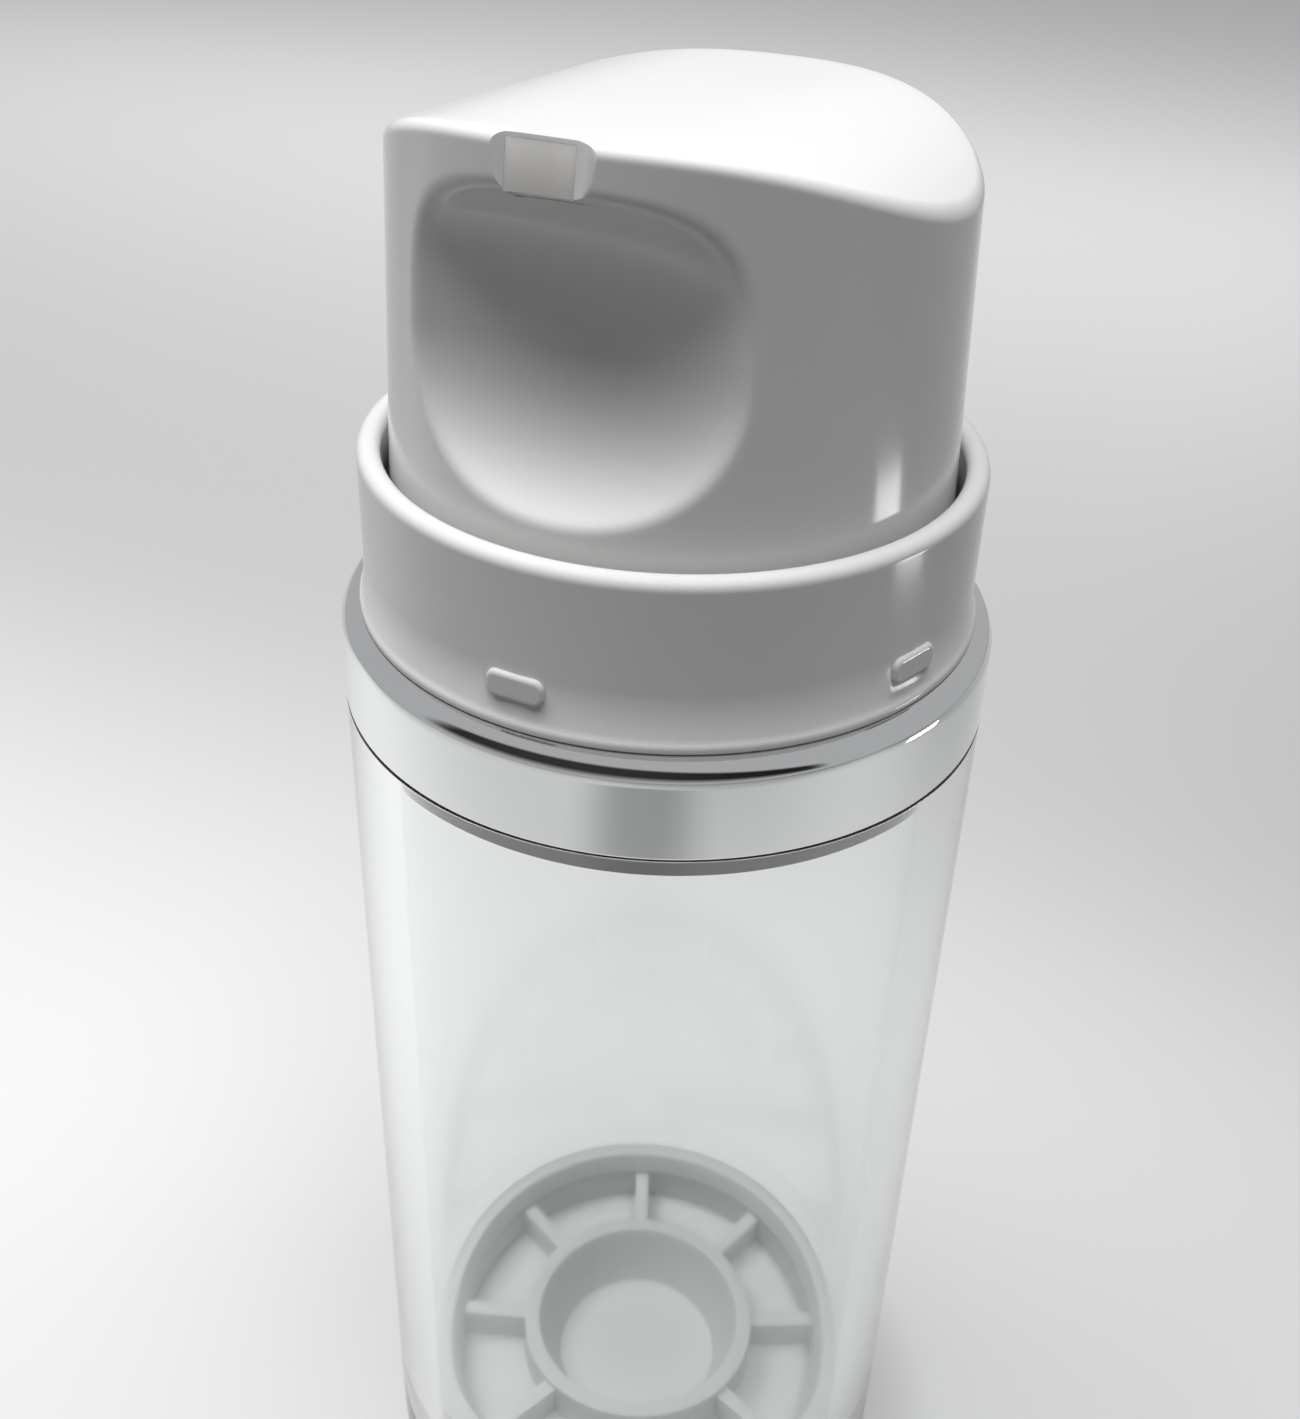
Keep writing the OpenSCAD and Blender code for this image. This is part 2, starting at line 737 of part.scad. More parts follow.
bottle();
follower_piston();
trim_ring();
closure();
collar();
neck_gasket();
pump_housing();
inlet_ball();
ball_cage();
pump_piston();
stem();
stem_foot();
gland();
stem_wiper();
return_spring();
actuator_core();
actuator_shell();
nozzle_insert();
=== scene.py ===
import math

import bmesh
import bpy
import numpy as np
from mathutils import Matrix, Vector


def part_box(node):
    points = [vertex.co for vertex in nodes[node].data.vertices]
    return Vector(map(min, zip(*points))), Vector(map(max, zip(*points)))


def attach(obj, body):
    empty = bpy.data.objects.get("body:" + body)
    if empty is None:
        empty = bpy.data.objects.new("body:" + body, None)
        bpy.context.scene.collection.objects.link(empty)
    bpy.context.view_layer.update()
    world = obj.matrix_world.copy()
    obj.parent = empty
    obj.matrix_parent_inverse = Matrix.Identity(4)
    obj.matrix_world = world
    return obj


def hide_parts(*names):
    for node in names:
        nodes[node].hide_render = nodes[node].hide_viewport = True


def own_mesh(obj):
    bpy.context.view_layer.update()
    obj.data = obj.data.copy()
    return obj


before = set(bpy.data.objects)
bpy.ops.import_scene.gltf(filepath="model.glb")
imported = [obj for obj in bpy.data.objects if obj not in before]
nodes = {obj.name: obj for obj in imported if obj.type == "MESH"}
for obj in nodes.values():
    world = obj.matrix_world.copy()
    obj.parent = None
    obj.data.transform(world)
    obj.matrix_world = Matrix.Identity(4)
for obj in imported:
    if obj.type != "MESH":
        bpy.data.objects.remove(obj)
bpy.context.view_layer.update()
mm = 0.001


# The bottle: a thick-walled straight jar, injection blown in clear glossy plastic. It stands on a foot ring
# round a shallow push-up with a 2 mm air vent, and its neck stands on a narrow shoulder under the metal ring.
def turned(outline, steps=256, on_axis=False):
    """A turned form from its half section, given as (radius, height) corners."""
    bm = bmesh.new()
    corners = [bm.verts.new((r, 0, z)) for r, z in outline]
    ends = corners[1:] if on_axis else corners[1:] + corners[:1]
    for a, b in zip(corners, ends):
        bm.edges.new((a, b))
    section = bm.verts[:] + bm.edges[:]
    bmesh.ops.spin(
        bm, geom=section, cent=(0, 0, 0), axis=(0, 0, 1), angle=2 * math.pi, steps=steps, use_merge=True
    )
    bmesh.ops.remove_doubles(bm, verts=bm.verts[:], dist=1e-7)
    bmesh.ops.recalc_face_normals(bm, faces=bm.faces[:])
    return bm


def bevelled(bm, edges, size, segments):
    """Rounds those edges over with that many faces."""
    bmesh.ops.bevel(
        bm,
        geom=edges,
        offset=size,
        offset_type="OFFSET",
        affect="EDGES",
        segments=segments,
        profile=0.5,
        material=-1,
    )


def round_edge(bm, r, z, size, segments=4):
    """Rounds the circular edge at that radius and height."""

    def on_edge(v):
        return abs(math.hypot(v.co.x, v.co.y) - r) < 1e-6 and abs(v.co.z - z) < 1e-6

    bevelled(bm, [e for e in bm.edges if all(on_edge(v) for v in e.verts)], size, segments)


seat_gap = 0.05 * mm
bottle_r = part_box("bottle")[1].x
neck_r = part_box("closure")[1].x
neck_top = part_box("bottle")[1].z
bore_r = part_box("follower_piston")[1].x + seat_gap
shoulder_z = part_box("trim_ring")[0].z - seat_gap
floor_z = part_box("follower_piston")[0].z - seat_gap
push_up = 0.8 * mm
foot_w = 4 * mm
foot_outer_round = 1.2 * mm
foot_inner_round = 0.4 * mm
shoulder_round = 0.15 * mm
vent_r = 1 * mm
# a row of points just past each rounded edge keeps the bend out of the tall wall's smooth shading
heel_row = 1.3 * mm
shoulder_row = shoulder_z - 0.2 * mm

bottle_bm = turned(
    [
        (vent_r, push_up),
        (bottle_r - foot_w - push_up, push_up),
        (bottle_r - foot_w, 0),
        (bottle_r, 0),
        (bottle_r, heel_row),
        (bottle_r, shoulder_row),
        (bottle_r, shoulder_z),
        (neck_r, shoulder_z),
        (neck_r, neck_top),
        (bore_r, neck_top),
        (bore_r, floor_z),
        (vent_r, floor_z),
    ]
)
round_edge(bottle_bm, bottle_r, 0, foot_outer_round, 8)
round_edge(bottle_bm, bottle_r - foot_w, 0, foot_inner_round)
round_edge(bottle_bm, bottle_r, shoulder_z, shoulder_round)


def piece(name, bm, body, slot, *replaced, crease=35):
    """Makes the mesh a shown piece that rides on that body and stands for those CAD nodes."""
    mesh = bpy.data.meshes.new(name)
    bm.to_mesh(mesh)
    bm.free()
    mesh.shade_smooth()
    mesh.set_sharp_from_angle(angle=math.radians(crease))
    made = bpy.data.objects.new(name, mesh)
    bpy.context.scene.collection.objects.link(made)
    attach(made, body)
    if replaced:
        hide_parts(*replaced)
    return made


bottle = piece("clear_bottle", bottle_bm, "container", "clear_plastic", "bottle")


def new_group(name, ins, outs):
    """An empty shader node group with those float, colour or vector sockets."""
    group = bpy.data.node_groups.new(name, "ShaderNodeTree")
    for label, kind, value in ins:
        socket = group.interface.new_socket(name=label, in_out="INPUT", socket_type=kind)
        if value is not None:
            socket.default_value = value
    for label, kind in outs:
        group.interface.new_socket(name=label, in_out="OUTPUT", socket_type=kind)
    return group, group.nodes.new("NodeGroupInput"), group.nodes.new("NodeGroupOutput")


def math_node(tree, operation, a, b):
    """A sum, product or such of two numbers or outputs."""
    node = tree.nodes.new("ShaderNodeMath")
    node.operation = operation
    for socket, value in zip(node.inputs, (a, b)):
        if isinstance(value, (int, float)):
            socket.default_value = value
        else:
            tree.links.new(value, socket)
    return node.outputs[0]


# what a moulded skin shows close up: slow sink waves, fine peel, cloudy gloss, and a faint drift of tone
skin, skin_in, skin_out = new_group(
    "moulded_skin",
    [
        ("Vector", "NodeSocketVector", None),
        ("Colour", "NodeSocketColor", (1, 1, 1, 1)),
        ("Drift Colour", "NodeSocketColor", (1, 1, 1, 1)),
        ("Roughness", "NodeSocketFloat", 0.2),
        ("Cloud", "NodeSocketFloat", 0.05),
        ("Wave Size", "NodeSocketFloat", 90.0),
        ("Peel Size", "NodeSocketFloat", 1800.0),
        ("Peel Share", "NodeSocketFloat", 0.2),
    ],
    [("Colour", "NodeSocketColor"), ("Roughness", "NodeSocketFloat"), ("Height", "NodeSocketFloat")],
)
wave = skin.nodes.new("ShaderNodeTexNoise")
peel = skin.nodes.new("ShaderNodeTexNoise")
drift = skin.nodes.new("ShaderNodeMix")
drift.data_type = "RGBA"
wave.inputs["Detail"].default_value = 1.0
peel.inputs["Detail"].default_value = 3.0
for noise, size in ((wave, "Wave Size"), (peel, "Peel Size")):
    skin.links.new(skin_in.outputs["Vector"], noise.inputs["Vector"])
    skin.links.new(skin_in.outputs[size], noise.inputs["Scale"])
skin.links.new(wave.outputs["Fac"], drift.inputs["Factor"])
skin.links.new(skin_in.outputs["Colour"], drift.inputs["A"])
skin.links.new(skin_in.outputs["Drift Colour"], drift.inputs["B"])
skin.links.new(drift.outputs["Result"], skin_out.inputs["Colour"])
peel_swing = math_node(skin, "SUBTRACT", peel.outputs["Fac"], 0.5)
cloud = math_node(skin, "MULTIPLY", peel_swing, skin_in.outputs["Cloud"])
cloudy = math_node(skin, "ADD", skin_in.outputs["Roughness"], cloud)
skin.links.new(cloudy, skin_out.inputs["Roughness"])
peel_part = math_node(skin, "MULTIPLY", peel.outputs["Fac"], skin_in.outputs["Peel Share"])
skin.links.new(math_node(skin, "ADD", wave.outputs["Fac"], peel_part), skin_out.inputs["Height"])


def moulded(name, colour, drift_colour, roughness, cloud, relief, wave_size, peel_size, peel_share):
    """A material whose colour, gloss and relief come from the moulded skin. relief is its depth in metres."""
    material = bpy.data.materials.new(name)
    material.use_nodes = True
    tree = material.node_tree
    shader = tree.nodes["Principled BSDF"]
    marks = tree.nodes.new("ShaderNodeGroup")
    marks.node_tree = skin
    place = tree.nodes.new("ShaderNodeTexCoord")
    bump = tree.nodes.new("ShaderNodeBump")
    bump.inputs["Strength"].default_value = 1.0
    bump.inputs["Distance"].default_value = relief
    for label, value in (
        ("Colour", (*colour, 1)),
        ("Drift Colour", (*drift_colour, 1)),
        ("Roughness", roughness),
        ("Cloud", cloud),
        ("Wave Size", wave_size),
        ("Peel Size", peel_size),
        ("Peel Share", peel_share),
    ):
        marks.inputs[label].default_value = value
    tree.links.new(place.outputs["Object"], marks.inputs["Vector"])
    tree.links.new(marks.outputs["Colour"], shader.inputs["Base Color"])
    tree.links.new(marks.outputs["Roughness"], shader.inputs["Roughness"])
    tree.links.new(marks.outputs["Height"], bump.inputs["Height"])
    tree.links.new(bump.outputs["Normal"], shader.inputs["Normal"])
    return material, shader


clear_plastic, clear_shader = moulded(
    "clear_bottle_plastic",
    colour=(0.985, 0.992, 0.99),
    drift_colour=(0.97, 0.98, 0.98),
    roughness=0.045,
    cloud=0.02,
    relief=4e-6,
    wave_size=60,
    peel_size=900,
    peel_share=0.1,
)
clear_shader.inputs["Transmission Weight"].default_value = 1.0
clear_shader.inputs["IOR"].default_value = 1.52
# the wall lets the lamps' light through to what stands in it
clear_tree = clear_plastic.node_tree
clear_rays = clear_tree.nodes.new("ShaderNodeLightPath").outputs
lets_light = clear_tree.nodes.new("ShaderNodeBsdfTransparent")
lets_light.inputs["Color"].default_value = (0.96, 0.965, 0.965, 1)
clear_mix = clear_tree.nodes.new("ShaderNodeMixShader")
unseen = math_node(clear_tree, "MAXIMUM", clear_rays["Is Shadow Ray"], clear_rays["Is Diffuse Ray"])
clear_tree.links.new(unseen, clear_mix.inputs[0])
clear_tree.links.new(clear_shader.outputs[0], clear_mix.inputs[1])
clear_tree.links.new(lets_light.outputs[0], clear_mix.inputs[2])
clear_tree.links.new(clear_mix.outputs[0], clear_tree.nodes["Material Output"].inputs["Surface"])
bottle.data.materials.append(clear_plastic)


# The follower piston: it rises behind the product as the bottle empties. Moulded in soft natural
# polyethylene, with two wiping lips, a ribbed groove and a cup in the middle, and pressed in from the
# bottle's mouth. The pump's own piston is of the same plastic.
def glow(shader, weight, radius, scale):
    """Lets light wander under the skin."""
    shader.inputs["Subsurface Weight"].default_value = weight
    shader.inputs["Subsurface Radius"].default_value = radius
    shader.inputs["Subsurface Scale"].default_value = scale


def dress(material, *names):
    """Gives the CAD nodes that material."""
    for name in names:
        nodes[name].data.materials.clear()
        nodes[name].data.materials.append(material)


natural_plastic, natural_shader = moulded(
    "natural_piston_plastic",
    colour=(0.64, 0.643, 0.647),
    drift_colour=(0.61, 0.613, 0.617),
    roughness=0.38,
    cloud=0.12,
    relief=1.2e-5,
    wave_size=140,
    peel_size=2600,
    peel_share=0.5,
)
glow(natural_shader, 0.6, (0.004, 0.004, 0.004), 0.6)
dress(natural_plastic, "follower_piston", "pump_piston")

# The shoulder ring: a band of plastic, plated with bright chrome and dropped over the neck before the pump
# goes on. Its upper outer edge is rounded, and its lower edge is nearly sharp.
ring_low, ring_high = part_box("trim_ring")
ring_r = ring_high.x
ring_inner_r = neck_r + seat_gap
ring_top_round = 1.4 * mm
ring_foot_round = 0.12 * mm
ring_top_row = ring_high.z - 1.45 * mm
ring_foot_row = ring_low.z + 0.16 * mm
ring_bm = turned(
    [
        (ring_inner_r, ring_low.z),
        (ring_r, ring_low.z),
        (ring_r, ring_foot_row),
        (ring_r, ring_top_row),
        (ring_r, ring_high.z),
        (ring_inner_r, ring_high.z),
    ]
)
round_edge(ring_bm, ring_r, ring_high.z, ring_top_round, 16)
round_edge(ring_bm, ring_r, ring_low.z, ring_foot_round)
ring = piece("chrome_ring", ring_bm, "container", "chrome_plate", "trim_ring")
chrome, chrome_shader = moulded(
    "chrome_plating",
    colour=(0.84, 0.845, 0.85),
    drift_colour=(0.80, 0.805, 0.81),
    roughness=0.045,
    cloud=0.04,
    relief=2e-6,
    wave_size=70,
    peel_size=1500,
    peel_share=0.2,
)
chrome_shader.inputs["Metallic"].default_value = 1.0
ring.data.materials.append(chrome)

# The closure: the plug that snaps into the bottle's mouth and carries the pump in its turret. Moulded in
# white polypropylene. Only its skirt shows, through the wall below the ring.
white_gloss, white_shader = moulded(
    "white_gloss_plastic",
    colour=(0.80, 0.80, 0.795),
    drift_colour=(0.77, 0.77, 0.765),
    roughness=0.13,
    cloud=0.05,
    relief=6e-6,
    wave_size=110,
    peel_size=1500,
    peel_share=0.12,
)
white_shader.inputs["IOR"].default_value = 1.5
glow(white_shader, 0.08, (0.0012, 0.0011, 0.001), 0.5)
dress(white_gloss, "closure")

# The collar: the open sleeve round the pump head, moulded in white gloss plastic and snapped on the closure.
# Five oblong bumps near its foot hold an overcap, and its foot flares out over the ring.
collar_low, collar_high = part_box("collar")
collar_r = neck_r
collar_inner_r = collar_r - 1.4 * mm
collar_round = 0.62 * mm
collar_row = collar_high.z - 0.7 * mm
collar_foot = 0.4 * mm
collar_foot_z = ring_high.z + seat_gap
collar_foot_round = 0.15 * mm
foot_h = 3.4 * mm
foot_draft = 0.1 * mm
collar_bm = turned(
    [
        (collar_inner_r, collar_low.z),
        (collar_r, collar_low.z),
        (collar_r, collar_foot_z),
        (collar_r + collar_foot, collar_foot_z),
        (collar_r + collar_foot, ring_high.z + collar_foot),
        (collar_r + foot_draft, ring_high.z + 2 * collar_foot),
        (collar_r, ring_high.z + foot_h),
        (collar_r, collar_row),
        (collar_r, collar_high.z),
        (collar_inner_r, collar_high.z),
        (collar_inner_r, collar_row),
    ]
)
round_edge(collar_bm, collar_r, collar_high.z, collar_round, 8)
round_edge(collar_bm, collar_inner_r, collar_high.z, collar_round, 8)
round_edge(collar_bm, collar_r + collar_foot, ring_high.z + collar_foot, collar_foot_round, 3)
collar = piece("white_collar", collar_bm, "container", "white_gloss", "collar")
collar.data.materials.append(white_gloss)


def combined(target, cutter, operation, solver="MANIFOLD"):
    """Cuts the cutter out of the piece or joins it on, and throws the cutter away."""
    step = target.modifiers.new(operation.lower(), "BOOLEAN")
    step.operation = operation
    step.solver = solver
    step.object = cutter
    bpy.context.view_layer.update()
    made = bpy.data.meshes.new_from_object(target.evaluated_get(bpy.context.evaluated_depsgraph_get()))
    target.modifiers.clear()
    target.data = made
    bpy.data.objects.remove(cutter)


def loose(name, bm):
    """A form on its own: one that cuts or joins, or a piece of the studio."""
    mesh = bpy.data.meshes.new(name)
    bm.to_mesh(mesh)
    bm.free()
    made = bpy.data.objects.new(name, mesh)
    bpy.context.scene.collection.objects.link(made)
    return made


def gather(forms, one):
    """Adds one finished form to the others, with its faces turned outwards."""
    bmesh.ops.recalc_face_normals(one, faces=one.faces[:])
    shape = bpy.data.meshes.new("form")
    one.to_mesh(shape)
    one.free()
    forms.from_mesh(shape)
    bpy.data.meshes.remove(shape)


bump_l = 3.5 * mm
bump_h = 1.6 * mm
bump_out = 0.3 * mm
bump_sunk = 0.6 * mm
bump_end_round = 0.62 * mm
bump_front_round = 0.26 * mm
bump_z = ring_high.z + 1.7 * mm + bump_h / 2
bump_turn = math.radians(-3)
bump_count = 5
bumps = bmesh.new()
for k in range(bump_count):
    one = bmesh.new()
    bmesh.ops.create_cube(one, size=1)
    bmesh.ops.scale(one, vec=(bump_l, bump_sunk + bump_out, bump_h), verts=one.verts[:])
    ends = [e for e in one.edges if abs((e.verts[0].co - e.verts[1].co).y) > mm * 0.1]
    bevelled(one, ends, bump_end_round, 8)
    front = min(one.faces, key=lambda f: f.calc_center_median().y)
    bevelled(one, front.edges[:], bump_front_round, 5)
    crest_y = -(bump_sunk + bump_out) / 2
    for v in one.verts:
        turn = v.co.x / collar_r + bump_turn + 2 * math.pi * k / bump_count
        r = collar_r + bump_out - (v.co.y - crest_y)
        v.co = (r * math.sin(turn), -r * math.cos(turn), v.co.z + bump_z)
    gather(bumps, one)
combined(collar, loose("snap_bumps", bumps), "UNION")

# The pump below the collar: gasket, housing, ball and cage, piston, stem and foot, and the gland that holds
# them in the turret. Plain mouldings with soft seals and a ground steel ball, put together before the head
# goes on.
pump_plastic, _ = moulded(
    "pump_plastic",
    colour=(0.82, 0.82, 0.81),
    drift_colour=(0.78, 0.78, 0.77),
    roughness=0.32,
    cloud=0.1,
    relief=1e-5,
    wave_size=150,
    peel_size=2200,
    peel_share=0.4,
)
seal_rubber, _ = moulded(
    "seal_rubber",
    colour=(0.10, 0.105, 0.11),
    drift_colour=(0.075, 0.08, 0.085),
    roughness=0.6,
    cloud=0.15,
    relief=1e-5,
    wave_size=400,
    peel_size=4000,
    peel_share=0.7,
)
steel, steel_shader = moulded(
    "bright_steel",
    colour=(0.62, 0.63, 0.65),
    drift_colour=(0.55, 0.56, 0.58),
    roughness=0.22,
    cloud=0.12,
    relief=2e-6,
    wave_size=400,
    peel_size=6000,
    peel_share=0.6,
)
steel_shader.inputs["Metallic"].default_value = 1.0
dress(pump_plastic, "pump_housing", "ball_cage", "stem", "stem_foot", "gland")
dress(seal_rubber, "neck_gasket", "stem_wiper")
dress(steel, "inlet_ball")

# The return spring: drawn steel wire, wound cold with a dead turn at each end, standing on the gland round
# the stem. It lifts the head's core after each press, and stays outside the product's path.
spring_low, spring_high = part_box("return_spring")
wire_r = 0.4 * mm
wire_sides = 12
coil_r = spring_high.x - wire_r
dead_rise = 1.3 * mm
coil_turns = 5
turn_steps = 48
coil_height = spring_high.z - spring_low.z - 2 * wire_r
body_rise = coil_height - 2 * dead_rise
upright = Matrix.Rotation(math.pi / 2, 3, "X")
spring_bm = bmesh.new()
bmesh.ops.create_circle(spring_bm, cap_ends=True, radius=wire_r, segments=wire_sides)
bmesh.ops.rotate(spring_bm, verts=spring_bm.verts[:], cent=(0, 0, 0), matrix=upright)
bmesh.ops.translate(spring_bm, verts=spring_bm.verts[:], vec=(coil_r, 0, spring_low.z + wire_r))
wire_end = spring_bm.verts[:] + spring_bm.edges[:] + spring_bm.faces[:]
for turns, rise in ((1, dead_rise), (coil_turns - 2, body_rise), (1, dead_rise)):
    steps = turn_steps * turns
    swept = bmesh.ops.spin(
        spring_bm,
        geom=wire_end,
        cent=(0, 0, 0),
        axis=(0, 0, 1),
        dvec=(0, 0, rise / steps),
        angle=2 * math.pi * turns,
        steps=steps,
    )
    wire_end = swept["geom_last"]
bmesh.ops.remove_doubles(spring_bm, verts=spring_bm.verts[:], dist=1e-7)
bmesh.ops.recalc_face_normals(spring_bm, faces=spring_bm.faces[:])
spring = piece("coil_spring", spring_bm, "container", "steel", "return_spring", crease=60)
spring.data.materials.append(steel)
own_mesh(spring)

# The pump head: a core with the stem's socket and the duct, and the shell that snaps over it, both moulded
# in white gloss plastic. The shell's top is one soft arch that climbs towards the nozzle. Its front is
# scooped out in a rounded dent for the fingertip, and six ribs inside it stop it on the core.
dress(white_gloss, "actuator_core")
head_low, head_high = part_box("actuator_shell")
skirt_r = head_high.x
skirt_z = head_low.z
head_taper = 0.034
head_h = 21.75 * mm
head_top = skirt_z + head_h
head_wall = 1.6 * mm
head_steps = 400
skirt_round = 0.35 * mm
rim_round = 0.6 * mm
roof_fall = 3.4 * mm
roof_half = 15.5 * mm
roof_power = 3.2
roof_slope = math.tan(math.radians(3.1))
dent_z = skirt_z + 12.1 * mm
dent_half_h = 8 * mm
dent_depth = 4.8 * mm
dent_half_angle = math.radians(34.5)
dent_roof_power = 3.2
dent_side_soft = 0.35 * mm
dent_roof_soft = 0.8 * mm

# the dent is a scoop's mark: a tube bent round in a ring, squarer in its upper half
dent_head_r = skirt_r - head_taper * (dent_z - skirt_z)
dent_edge_y = dent_head_r * math.cos(dent_half_angle)
dent_sag = dent_edge_y - (dent_head_r - dent_depth)
dent_half_w = dent_head_r * math.sin(dent_half_angle)
scoop_tube = (dent_half_h**2 + dent_depth**2) / (2 * dent_depth)
scoop_reach = (dent_half_w**2 + dent_sag**2) / (2 * dent_sag)
scoop_y = dent_head_r - dent_depth + scoop_reach
scoop_ring = scoop_reach - scoop_tube
roof_in = (scoop_y - dent_head_r - scoop_ring) / scoop_tube
scoop_roof = dent_half_h / (1 - roof_in**dent_roof_power) ** (1 / dent_roof_power)

dent_foot_row = 3.5 * mm
dent_top_row = 17.5 * mm
head_bm = turned(
    [
        (0, head_top),
        (skirt_r - head_taper * head_h, head_top),
        (skirt_r - head_taper * dent_top_row, skirt_z + dent_top_row),
        (skirt_r - head_taper * dent_foot_row, skirt_z + dent_foot_row),
        (skirt_r, skirt_z),
        (skirt_r - head_wall, skirt_z),
        (skirt_r - head_wall - head_taper * (head_h - head_wall), head_top - head_wall),
        (0, head_top - head_wall),
    ],
    steps=head_steps,
    on_axis=True,
)
round_edge(head_bm, skirt_r - head_taper * head_h, head_top, rim_round, 10)
round_edge(head_bm, skirt_r, skirt_z, skirt_round, 4)
round_edge(head_bm, skirt_r - head_wall, skirt_z, skirt_round, 3)


def add_rows(bm, low, high, cuts, inner=False):
    """Adds rows of faces to the outer or the inner wall between two heights."""
    rows = []
    for e in bm.edges:
        a, b = e.verts
        z0, z1 = sorted((a.co.z, b.co.z))
        if z1 - z0 > 1e-5 and z0 > low - 1e-6 and z1 < high + 1e-6:
            edge_r = (math.hypot(a.co.x, a.co.y) + math.hypot(b.co.x, b.co.y)) / 2
            wall_r = skirt_r - head_taper * ((z0 + z1) / 2 - skirt_z) - head_wall / 2
            if (edge_r < wall_r) == inner:
                rows.append(e)
    bmesh.ops.subdivide_edges(bm, edges=rows, cuts=cuts, use_grid_fill=True)


near = 0.1 * mm
skirt_row = skirt_z + 0.3 * mm
add_rows(head_bm, skirt_z + dent_foot_row - near, skirt_z + dent_top_row + near, 70)
add_rows(head_bm, skirt_z + dent_top_row - near, head_top - rim_round * 0.9, 30)
add_rows(head_bm, skirt_row, skirt_z + dent_foot_row + near, 5)
add_rows(head_bm, skirt_row, head_top - head_wall, 26, inner=True)
spokes = []
for e in head_bm.edges:
    end_r = sorted(math.hypot(v.co.x, v.co.y) for v in e.verts)
    if abs(e.verts[0].co.z - e.verts[1].co.z) < 1e-7 and end_r[1] - end_r[0] > 5 * mm:
        spokes.append(e)
bmesh.ops.subdivide_edges(head_bm, edges=spokes, cuts=15, use_grid_fill=True)


def arch_z(x, y):
    """Height of the arched top over a point."""
    return head_top - roof_fall * (np.abs(x) / roof_half) ** roof_power - roof_slope * y


def scoop_gap(r, turn, z, grow):
    """How far a point lies outside the scoop that forms the dent."""
    reach = np.hypot(r * np.sin(turn), scoop_y - r * np.cos(turn))
    across = np.abs(reach - scoop_ring) / (scoop_tube + grow)
    up = z - dent_z
    power = np.where(up > 0, dent_roof_power, 2.0)
    tall = np.where(up > 0, scoop_roof, scoop_tube) + grow
    return ((across**power + np.abs(up / tall) ** power) ** (1 / power) - 1) * (scoop_tube + grow)


def dented(r, turn, z, grow, soft):
    """The radius that the wall keeps where the scoop meets it, with the edge between them rounded."""
    deepest = 9 * mm
    halvings = 26
    low, high = r - deepest, r.copy()
    for _ in range(halvings):
        middle = (low + high) / 2
        out, cut = middle - r, -scoop_gap(middle, turn, z, grow)
        edge = np.maximum(soft - np.abs(out - cut), 0) ** 2 / (4 * soft)
        outside = np.maximum(out, cut) + edge > 0
        high = np.where(outside, middle, high)
        low = np.where(outside, low, middle)
    return (low + high) / 2


# the turned shell is bent to its shape: faces crowd to the front, the top arches and the dent sinks in
front_crowding = 0.38
arch_foot = 3 * mm
head_shell = piece("pump_head", head_bm, "head", "white_gloss", "actuator_shell")
points = np.zeros(len(head_shell.data.vertices) * 3, np.float32)
head_shell.data.vertices.foreach_get("co", points)
x, y, z = points.reshape(-1, 3).astype(float).T
radius = np.hypot(x, y)
turn = np.arctan2(x, -y)
turn = turn - front_crowding * np.sin(turn)
middle_r = skirt_r - head_taper * (z - skirt_z) - head_wall / 2
is_inner = (radius < middle_r) & (z < head_top - head_wall / 2)
x, y = radius * np.sin(turn), -radius * np.cos(turn)
climb = np.clip((z - skirt_z - arch_foot) / (head_h - arch_foot - rim_round), 0, 1)
z = z + (arch_z(x, y) - head_top) * climb
roofward = np.clip((z - dent_z) / dent_half_h, 0, 1) ** 2
soft = dent_side_soft + (dent_roof_soft - dent_side_soft) * roofward
wall_r = dented(radius, turn, z, np.where(is_inner, head_wall, 0.0), soft)
x, y = wall_r * np.sin(turn), -wall_r * np.cos(turn)
head_shell.data.vertices.foreach_set("co", np.stack([x, y, z], 1).astype(np.float32).ravel())
head_shell.data.update()

rib_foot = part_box("stem")[1].z + 1.55 * mm
rib_reach = 4.8 * mm
rib_half_t = 0.5 * mm
rib_sunk = 0.3 * mm
rib_inner = skirt_r - head_wall - rib_reach
rib_outer = skirt_r - head_wall - head_taper * head_h + rib_sunk
ribs = bmesh.new()
for degrees in (55, 100, 145, -145, -100, -55):
    one = bmesh.new()
    bmesh.ops.create_cube(one, size=1)
    facing = math.radians(degrees)
    for v in one.verts:
        is_foot = v.co.z < 0
        out = rib_inner if v.co.y < 0 else rib_outer
        side = math.copysign(rib_half_t, v.co.x)
        v.co.x = out * math.sin(facing) + side * math.cos(facing)
        v.co.y = side * math.sin(facing) - out * math.cos(facing)
        v.co.z = rib_foot if is_foot else float(arch_z(v.co.x, v.co.y)) - head_wall / 2
    gather(ribs, one)
combined(head_shell, loose("stop_ribs", ribs), "UNION", "EXACT")

